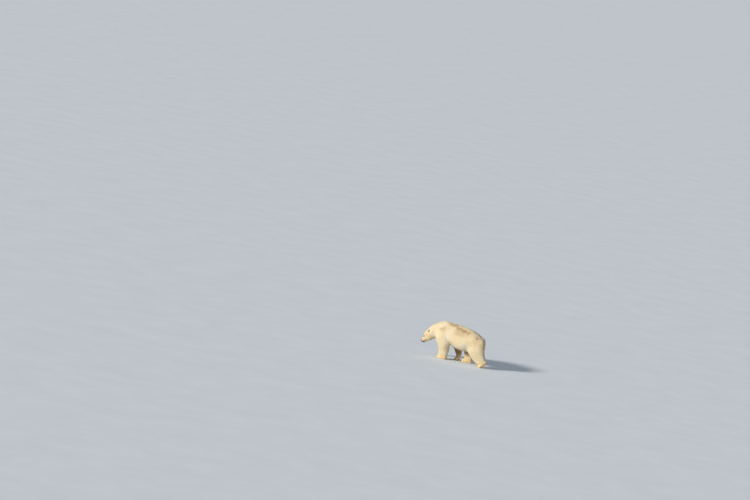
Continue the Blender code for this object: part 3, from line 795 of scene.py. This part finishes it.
class Shader:
    def __init__(self, name, **fixed):
        self.material = bpy.data.materials.new(name)
        self.material.use_nodes = True
        self.tree = self.material.node_tree
        self.surface = self.tree.nodes["Principled BSDF"]
        for socket, value in fixed.items():
            self.surface.inputs[socket.replace("_", " ")].default_value = value
        self.place = self.node("ShaderNodeTexCoord", output="Object")

    def put(self, socket, value):
        if isinstance(value, Signal):
            self.tree.links.new(value.socket, socket)
        else:
            socket.default_value = value

    def node(self, kind, settings=None, inputs=(), output=0):
        made = self.tree.nodes.new(kind)
        for key, value in (settings or {}).items():
            setattr(made, key, value)
        for key, value in inputs.items() if isinstance(inputs, dict) else enumerate(inputs):
            self.put(made.inputs[key], value)
        return Signal(self, made.outputs[output])

    def mix(self, factor, a, b):
        # each of a and b is a colour's name or a signal
        made = self.tree.nodes.new("ShaderNodeMix")
        made.data_type = "RGBA"
        for number, value in ((0, factor), (6, a), (7, b)):
            self.put(made.inputs[number], (*colours[value], 1.0) if isinstance(value, str) else value)
        return Signal(self, made.outputs[2])

    def parts(self, place):
        made = self.node("ShaderNodeSeparateXYZ", None, [place]).socket.node
        return [Signal(self, socket) for socket in made.outputs]

    def noise(self, scale, detail=2.0, rough=0.5, output=0):
        inputs = {"Vector": self.place, "Scale": scale, "Detail": detail, "Roughness": rough}
        return self.node("ShaderNodeTexNoise", None, inputs, output)

    def vector(self, operation, *values, output=0):
        return self.node("ShaderNodeVectorMath", {"operation": operation}, values, output)

    def distance(self, centre):
        return self.vector("DISTANCE", self.place, tuple(centre), output="Value")

    def patch(self, place, sizes):
        # 1 at the centre of a soft ellipsoid and 0 at its edge; the sizes are its centre and half sizes
        shift = tuple(-centre / half for centre, half in zip(sizes[:3], sizes[3:]))
        scale = tuple(1 / half for half in sizes[3:])
        scaled = self.node("ShaderNodeMapping", None, {"Vector": place, "Location": shift, "Scale": scale})
        return self.vector("LENGTH", scaled, output="Value").kept(1.0, 0.25)

    def attribute(self, name):
        return self.node("ShaderNodeAttribute", {"attribute_name": name}, output="Fac")

    def done(self, colour, bump=None, **others):
        # the surface takes its colour and whatever else varies; bump is a height, its distance and strength
        signals = {"Base_Color": colour, **others}
        if bump:
            inputs = dict(zip(("Height", "Distance", "Strength"), bump))
            signals["Normal"] = self.node("ShaderNodeBump", None, inputs, "Normal")
        for socket, signal in signals.items():
            self.put(self.surface.inputs[socket.replace("_", " ")], signal)
        return self.material


# all colours, and the markings that skin and coat share, as soft patches in the bear's own space
colours = {"base": (0.87, 0.72, 0.46), "pale": (0.93, 0.84, 0.64), "stain": (0.47, 0.29, 0.11),
           "umberStainAndShade": (0.34, 0.21, 0.1), "foot": (0.82, 0.55, 0.21), "belly": (0.9, 0.82, 0.66),
           "smudge": (0.12, 0.085, 0.06), "muzzle": (0.54, 0.43, 0.28), "face": (0.7, 0.52, 0.28),
           "lip": (0.045, 0.034, 0.028), "black": (0.018, 0.015, 0.014), "worn": (0.04, 0.032, 0.03),
           "root": (0.66, 0.5, 0.28), "lighter": (0.95, 0.88, 0.7), "darker": (0.62, 0.45, 0.23),
           "underfur": (0.6, 0.44, 0.24), "iris": (0.01, 0.005, 0.003), "irisLight": (0.036, 0.017, 0.008),
           "eyeRim": (0.012, 0.008, 0.007), "hole": (0.002, 0.002, 0.002), "leather": (0.014, 0.012, 0.012),
           "leatherWorn": (0.045, 0.036, 0.034), "horn": (0.012, 0.01, 0.009),
           "hornStreak": (0.04, 0.03, 0.024), "hornTip": (0.1, 0.078, 0.058),
           "floorDark": (0.76, 0.83, 0.93), "floorLight": (0.8, 0.87, 0.97)}
# centre, half sizes, colour and strength; y is taken without its sign, so both flanks have it
markings = (
    (-0.45, 0.08, 0.99, 0.17, 0.3, 0.13, "pale", 0.9),
    (-0.58, 0.1, 0.62, 0.22, 0.26, 0.22, "pale", 0.55),
    (-0.25, 0.26, 0.62, 0.16, 0.2, 0.22, "pale", 0.85),
    (-0.31, 0.26, 0.36, 0.13, 0.2, 0.28, "pale", 0.4),
    (0.9, 0.26, 0.31, 0.16, 0.22, 0.17, "pale", 0.4),
    (-0.13, 0.26, 0.84, 0.13, 0.18, 0.09, "pale", 0.6),
    (0.26, 0.14, 0.49, 0.36, 0.34, 0.17, "belly", 0.95),
    (0.3, 0.1, 1.0, 0.22, 0.16, 0.06, "pale", 0.6),
    (0.12, 0.26, 0.85, 0.28, 0.22, 0.14, "stain", 0.42),
    (-0.23, 0.12, 1.01, 0.1, 0.2, 0.07, "stain", 0.62),
    (-0.1, 0.14, 0.99, 0.14, 0.2, 0.075, "stain", 0.72),
    (0.06, 0.18, 0.955, 0.15, 0.22, 0.075, "stain", 0.8),
    (0.2, 0.22, 0.915, 0.15, 0.22, 0.08, "stain", 0.95),
    (0.35, 0.22, 0.885, 0.14, 0.22, 0.06, "stain", 0.62),
    (-0.45, 0.2, 0.84, 0.13, 0.18, 0.09, "stain", 0.52),
    (0.65, 0.28, 0.73, 0.18, 0.22, 0.24, "stain", 0.38),
    (0.83, 0.22, 0.62, 0.12, 0.22, 0.2, "stain", 0.38),
    (-0.2, 0.26, 0.34, 0.08, 0.16, 0.16, "stain", 0.42),
    (-0.27, 0.18, 0.03, 0.24, 0.22, 0.11, "foot", 0.85),
    (0.06, 0.16, 0.05, 0.2, 0.22, 0.16, "foot", 0.8),
    (0.29, 0.19, 0.06, 0.24, 0.22, 0.15, "foot", 0.85),
    (0.92, 0.18, 0.06, 0.22, 0.22, 0.15, "foot", 0.85),
)
# on one side only: painted shade, with some brown stain, on the far foreleg and hock, where the body shades
# them, and a small dark spot on the near rump
sideMarksAndShade = (
    (0.04, 0.13, 0.28, 0.19, 0.22, 0.36, "umberStainAndShade", 1.0),
    (0.32, 0.1, 0.28, 0.2, 0.15, 0.16, "umberStainAndShade", 0.85),
    (0.645, -0.235, 0.79, 0.028, 0.09, 0.05, "smudge", 0.95),
)
# in head terms, on both sides of the head: back, out and up; half size; colour; strength
headMarks = (
    (0.23, 0.0, 0.02, 0.23, "face", 0.62),
    (0.085, 0.0, 0.045, 0.04, "muzzle", 0.7),
    (0.158, 0.06, 0.077, 0.036, "smudge", 0.74),
    (0.026, 0.016, -0.022, 0.036, "lip", 0.9),
    (0.036, 0.016, -0.046, 0.042, "lip", 0.95),
    (0.064, 0.034, -0.058, 0.036, "lip", 0.88),
    (0.022, 0.0, 0.0, 0.06, "lip", 0.9),
    (0.084, 0.054, -0.05, 0.018, "smudge", 0.65),
    (0.106, 0.057, -0.049, 0.016, "smudge", 0.6),
    (0.128, 0.059, -0.045, 0.015, "smudge", 0.55),
    (0.15, 0.063, -0.04, 0.014, "smudge", 0.55),
    (0.3, 0.08, -0.02, 0.11, "stain", 0.18),
)
driftPlan = {"scale": 5.0, "reach": 0.16}


def furColour(shader):
    # the patches' edges wander with a slow noise
    drift = shader.noise(driftPlan["scale"], 3.0, 0.6, "Color")
    reach = driftPlan["reach"]
    shifted = shader.vector("MULTIPLY_ADD", drift, (reach,) * 3, (-reach / 2,) * 3)
    shifted = shader.vector("ADD", shader.place, shifted)
    both = shader.vector("ABSOLUTE", shader.place)
    along, _, height = shader.parts(shifted)
    place = shader.node("ShaderNodeCombineXYZ", None, [along, shader.parts(both)[1], height])
    cloud = shader.noise(7.0, 3.0, 0.6)
    colour = shader.mix(cloud.kept(0.38, 0.72) * 0.45, "base", "pale")
    for *sizes, name, strength in markings:
        colour = shader.mix(shader.patch(place, sizes) * strength, colour, name)
    blotch = shader.noise(16.0, 4.0, 0.65).kept(0.52, 0.8) * 0.34
    colour = shader.mix(blotch, colour, "stain")
    # painted shade on the far legs, and the dark spot on the near rump
    for *sizes, name, strength in sideMarksAndShade:
        colour = shader.mix(shader.patch(shader.place, sizes) * strength, colour, name)
    snout = shader.distance(onHead(0.02, 0, -0.01)).kept(0.15, 0.04)
    colour = shader.mix(snout * 0.82, colour, "muzzle")
    for back, out, up, reach, name, strength in headMarks:
        for sign in (1, -1) if out else (1,):
            spot = shader.distance(onHead(back, sign * out, up)).kept(reach, reach * 0.4)
            colour = shader.mix(spot * strength, colour, name)
    # the ear cups' coat darkened: painted shade in the ear's hollow
    for side in sides:
        cup = shader.distance(earCentre(side) + earAxes(side)[0] * earPlan["cupShadeOffset"])
        colour = shader.mix(cup.kept(0.034, 0.018) * 0.88, colour, "smudge")
    return colour


def coatMaterial():
    # darker at the roots, partly as painted shade deep in the coat and partly the hair's own tone; each tuft
    # a little lighter or darker than the next
    shader = Shader("bear coat", Roughness=0.72, Sheen_Weight=0.25, Sheen_Roughness=0.5,
                    Specular_IOR_Level=0.3)
    colour = furColour(shader)
    along, shade = shader.attribute("along"), shader.attribute("shade")
    # painted shade towards each tuft's root, with some of the hair's own tone
    colour = shader.mix(along.kept(0.8, 0.0) * 0.18, colour, "root")
    colour = shader.mix(shade.kept(0.3, 1.0) * 0.22, colour, "lighter")
    colour = shader.mix(shade.kept(0.5, 0.0) * 0.22, colour, "darker")
    return shader.done(colour, (shader.noise(900.0, 2.0, 0.6), 0.0006, 0.5))


def skinMaterial():
    shader = Shader("bear skin", Specular_IOR_Level=0.35)
    colour = furColour(shader)
    grain = shader.noise(420.0, 3.0, 0.6)
    colour = shader.mix(grain.kept(0.3, 0.8) * 0.2, colour, "underfur")
    darkness = shader.attribute("dark")
    black = shader.mix(grain.kept(0.35, 0.75), "black", "worn")
    colour = shader.mix(darkness, colour, black)
    roughness = 0.82 - 0.34 * darkness
    return shader.done(colour, (grain + 0.5 * shader.noise(1500.0), 0.0009, 0.6), Roughness=roughness)


coatLook, skinLook = coatMaterial(), skinMaterial()
addValues(skin, "dark", dark)
# where tufts grow, the underfur fills the lower part of the coat, so that no gap between them is dark
underfur = skinPlan["underfur"] * coatDepth * (1 - spread(bare, 4))
raised = inner + skinNormals * underfur[:, None]
raised[:, 2] = np.maximum(raised[:, 2], np.minimum(inner[:, 2], skinPlan["soleLift"]))
setPoints(skin, raised)
setSmooth(skin)
addPiece("bear_skin", skin, skinLook, fleshNodes + ["left_ear", "right_ear"])
for number, (name, (where, axis)) in enumerate(coatGroups.items()):
    # a group with too many tufts for one piece is cut across its centre line
    chosen = np.flatnonzero(where)
    chosen = chosen[np.argsort(middles[chosen] @ np.asarray(axis), kind="stable")]
    total = np.cumsum(wanted[chosen])
    parts = int(math.ceil(total[-1] / tuftPlan["most"]))
    for part in range(parts):
        mine = chosen[(total > total[-1] * part / parts) & (total <= total[-1] * (part + 1) / parts)]
        pieceName = name + ("_" + str(part + 1) if parts > 1 else "")
        mesh = tuftMesh(pieceName, np.sort(mine), axis, 100 * number + part)
        addPiece(pieceName, mesh, coatLook)

# eyes: a ball with a slightly raised clear front, dark brown round a black pupil
irisPlan = {"iris": 0.0068, "pupil": 0.0027, "bulge": 0.0007}


def ballMesh(name, centre, gaze):
    # a sphere about the gaze, raised in a gentle cap over the iris
    sideways = unit(np.cross(gaze, [0.0, 0.0, 1.0]))
    upward = np.cross(sideways, gaze)
    theta, phi = twoAngles(rows=40, columns=48, edge=0.03)
    reach = eyeRadius + irisPlan["bulge"] * np.exp(-(theta / 0.5) ** 4)
    grid = centre + (reach * np.cos(theta) + 0 * phi)[..., None] * gaze
    grid = grid + (reach * np.sin(theta) * np.cos(phi))[..., None] * sideways
    grid = grid + (reach * np.sin(theta) * np.sin(phi))[..., None] * upward
    return gridMesh(name, grid)


def eyeMaterial(name, front):
    shader = Shader(name, Roughness=0.04, Coat_Weight=1.0, Coat_Roughness=0.02, Specular_IOR_Level=0.6)
    off = shader.distance(front)
    iris = shader.mix(shader.noise(1400.0, 4.0, 0.6).kept(0.35, 0.75), "iris", "irisLight")
    colour = shader.mix(off.kept(irisPlan["iris"] * 0.9, irisPlan["iris"] * 1.05), iris, "eyeRim")
    colour = shader.mix(off.kept(irisPlan["pupil"] * 1.1, irisPlan["pupil"] * 0.9), colour, "hole")
    return shader.done(colour, (shader.noise(300.0, 1.0), 0.00005, 0.2))


for side in sides:
    gaze, centre = eyeAxes(side)[0], ballCentre(side)
    eyeLook = eyeMaterial("eye " + side, centre + gaze * eyeRadius)
    addPiece("eyeball_" + side, ballMesh(side + " eyeball", centre, gaze), eyeLook, [side + "_eye"])

# nose: a broad pebbled pad with comma-shaped nostrils and a groove down its middle
nosePlan = {"back": 0.0185, "up": 0.001, "halfWidth": 0.0315, "halfHeight": 0.0265, "halfDepth": 0.0195,
            "square": 0.8, "nostril": 0.0075, "slit": 0.0042, "groove": 0.002, "wing": 0.0014}
# the nostril's slit, out and up
nostrilPath = np.array([(0.0115, -0.003), (0.0165, 0.005), (0.0245, 0.005), (0.0305, -0.002)])


def softPower(value, power):
    return np.sign(value) * np.abs(value) ** power


def noseMesh():
    # a squared ellipsoid about the muzzle's axis, pressed in along two hooked lines and a groove
    theta, phi = twoAngles(rows=70, columns=110, edge=0.02)
    x = softPower(np.cos(phi), nosePlan["square"]) * softPower(np.sin(theta), 0.9)
    y = softPower(np.sin(phi), nosePlan["square"]) * softPower(np.sin(theta), 0.9)
    z = softPower(np.cos(theta), 0.85) + 0 * phi
    out, up = x * nosePlan["halfWidth"] * (1 - 0.16 * np.maximum(-y, 0)), y * nosePlan["halfHeight"]
    ahead = z * nosePlan["halfDepth"] - 0.004 * np.maximum(y, 0) ** 2
    side = np.abs(out)
    flat = np.stack([side, up], -1)
    press = nosePlan["nostril"] * mound((side, 0.0135, 0.005), (up, 0.001, 0.0056))
    for a, b in zip(nostrilPath[:-1], nostrilPath[1:]):
        press = np.maximum(press, nosePlan["slit"] * mound((toLine(flat, a, b)[0], 0, 0.0024)))
    wing = nosePlan["wing"] * mound((side, 0.021, 0.006), (up, 0.011, 0.005))
    groove = nosePlan["groove"] * mound((out, 0, 0.0016)) * step01(-up, -0.004, 0.004)
    ahead = ahead - (press + groove - wing) * step01(z, 0.05, 0.35)
    grid = noseTip - headForward * (nosePlan["back"] - ahead)[..., None] + headLeft * out[..., None]
    return gridMesh("nose pad", grid + headUp * (up + nosePlan["up"])[..., None])


def noseMaterial():
    shader = Shader("nose leather", Specular_IOR_Level=0.5)
    pebble = shader.node("ShaderNodeTexVoronoi", {"feature": "SMOOTH_F1"},
                         {"Vector": shader.place, "Scale": 620.0, "Smoothness": 0.4}, "Distance")
    worn = shader.noise(90.0, 3.0, 0.6).kept(0.5, 0.8)
    colour = shader.mix(worn, "leather", "leatherWorn")
    # the nostrils painted darker than the leather: painted shade inside them
    for sign in sides.values():
        hole = shader.distance(onHead(0.006, sign * 0.0135, 0.002)).kept(0.0085, 0.0045)
        colour = shader.mix(hole, colour, "hole")
    roughness, coat = 0.34 + 0.22 * worn, 0.1 + 0.15 * worn
    return shader.done(colour, (1 - pebble, 0.0007, 0.8), Roughness=roughness, Coat_Weight=coat)


addPiece("nose_pad", noseMesh(), noseMaterial(), ["nose"])

# claws: curved tapered horn, one piece for each paw
clawPlan = {"rows": 16, "columns": 12, "thick": 0.0082, "taper": 0.9, "narrow": 0.68, "sunk": 0.012,
            "arch": 0.004}


def clawGrid(node, paw):
    # a cone carried along a drooping curve from inside the toe to the point
    root, tip, ahead = clawLine(node, paw)
    root = root - ahead * clawPlan["sunk"]
    bend = root + (tip - root) * 0.55
    bend[2] = max(root[2], tip[2]) + clawPlan["arch"]
    t = np.linspace(0, 1, clawPlan["rows"])[:, None]
    path = root * (1 - t) ** 2 + bend * (2 * t * (1 - t)) + tip * t ** 2
    side = unit(np.cross([0.0, 0.0, 1.0], ahead))
    lift = np.cross(unit(np.gradient(path, axis=0)), side)
    thick = clawPlan["thick"] * (1 - clawPlan["taper"] * t ** 1.5)
    phi = np.linspace(0, 2 * math.pi, clawPlan["columns"], endpoint=False)[:, None]
    across = side * (np.cos(phi) * clawPlan["narrow"])
    return path[:, None] + thick[:, None] * (across[None] + lift[:, None] * np.sin(phi)[None])


def clawMaterial():
    shader = Shader("claw horn", Specular_IOR_Level=0.5)
    streak = shader.noise(260.0, 4.0, 0.7)
    low = shader.parts(shader.place)[2].kept(0.05, 0.01)
    colour = shader.mix(streak.kept(0.35, 0.75), "horn", "hornStreak")
    colour = shader.mix(low * 0.5, colour, "hornTip")
    return shader.done(colour, (streak, 0.0004, 0.5), Roughness=0.3 + 0.25 * streak)


clawLook = clawMaterial()
for paw in paws:
    claws = [gridMesh(node, clawGrid(node, paw)) for node in clawNodes(paw)]
    addPiece("claws_" + paw, joinedMesh("claws " + paw, claws), clawLook, clawNodes(paw))

# floor, light and camera; the camera aims beside and above a point between the feet
setPlan = {"floorRadius": 2500.0, "floorSides": 96, "key": 3.24, "keyAngle": 9.0, "keyAzimuth": -39.0,
           "keyElevation": 22.0, "keyColour": (1.0, 0.92, 0.8), "world": 0.32,
           "worldColour": (0.88, 0.94, 1.0, 1.0), "azimuth": 20.0, "elevation": 7.0, "roll": 10.5,
           "feet": (-0.294, -0.1724, 0.0), "shiftLeft": 1.9185, "shiftUp": 3.1002, "pictureWidth": 750.0,
           "perMetre": 35.0, "distance": 100.0, "sensor": 36.0, "clip": (1.0, 5000.0)}


def floorMaterial():
    shader = Shader("floor", Roughness=0.9, Specular_IOR_Level=0.2)
    return shader.done(shader.mix(shader.noise(0.8, 4.0, 0.6).kept(0.3, 0.7), "floorDark", "floorLight"))


def towards(azimuth, elevation):
    # from the bear to a camera or lamp: azimuth 0 stands at -Y and 90 at +X
    a, e = math.radians(azimuth), math.radians(elevation)
    return Vector((math.sin(a) * math.cos(e), -math.cos(a) * math.cos(e), math.sin(e)))


floorSides = setPlan["floorSides"]
angle = np.linspace(0, 2 * math.pi, floorSides, endpoint=False)
rim = np.stack([np.cos(angle), np.sin(angle), 0 * angle], 1) * setPlan["floorRadius"]
order = np.arange(floorSides)
fan = np.stack([np.full(floorSides, floorSides), order, np.roll(order, -1)], 1)
floor = addObject("floor", meshFromFaces("floor", np.vstack([rim, [[0, 0, 0]]]), (), fan))
floor.data.materials.append(floorMaterial())

sun = addObject("key light", bpy.data.lights.new("key light", "SUN"))
sun.data.energy, sun.data.angle = setPlan["key"], math.radians(setPlan["keyAngle"])
sun.data.color = setPlan["keyColour"]
toSun = towards(setPlan["keyAzimuth"], setPlan["keyElevation"])
sun.rotation_euler = toSun.to_track_quat("Z", "Y").to_euler()
world = bpy.data.worlds.new("studio")
world.use_nodes = True
background = world.node_tree.nodes["Background"].inputs
background["Color"].default_value = setPlan["worldColour"]
background["Strength"].default_value = setPlan["world"]
bpy.context.scene.world = world
bpy.context.scene.view_settings.view_transform = "Standard"  # colours as they are, with no film curve

turnAngle = math.radians(setPlan["azimuth"])
back = towards(setPlan["azimuth"], setPlan["elevation"])
level = Vector((math.cos(turnAngle), math.sin(turnAngle), 0.0))
roll = turnAbout(back, setPlan["roll"])
right, upward = roll @ level, roll @ back.cross(level)
aim = Vector(setPlan["feet"]) - right * setPlan["shiftLeft"] + upward * setPlan["shiftUp"]
camera = addObject("camera", bpy.data.cameras.new("camera"))
camera.data.sensor_width = setPlan["sensor"]
camera.data.lens = setPlan["sensor"] * setPlan["distance"] / (setPlan["pictureWidth"] / setPlan["perMetre"])
camera.data.clip_start, camera.data.clip_end = setPlan["clip"]
facing = Matrix((right, upward, back)).transposed().to_4x4()
camera.matrix_world = Matrix.Translation(aim + back * setPlan["distance"]) @ facing
bpy.context.scene.camera = camera
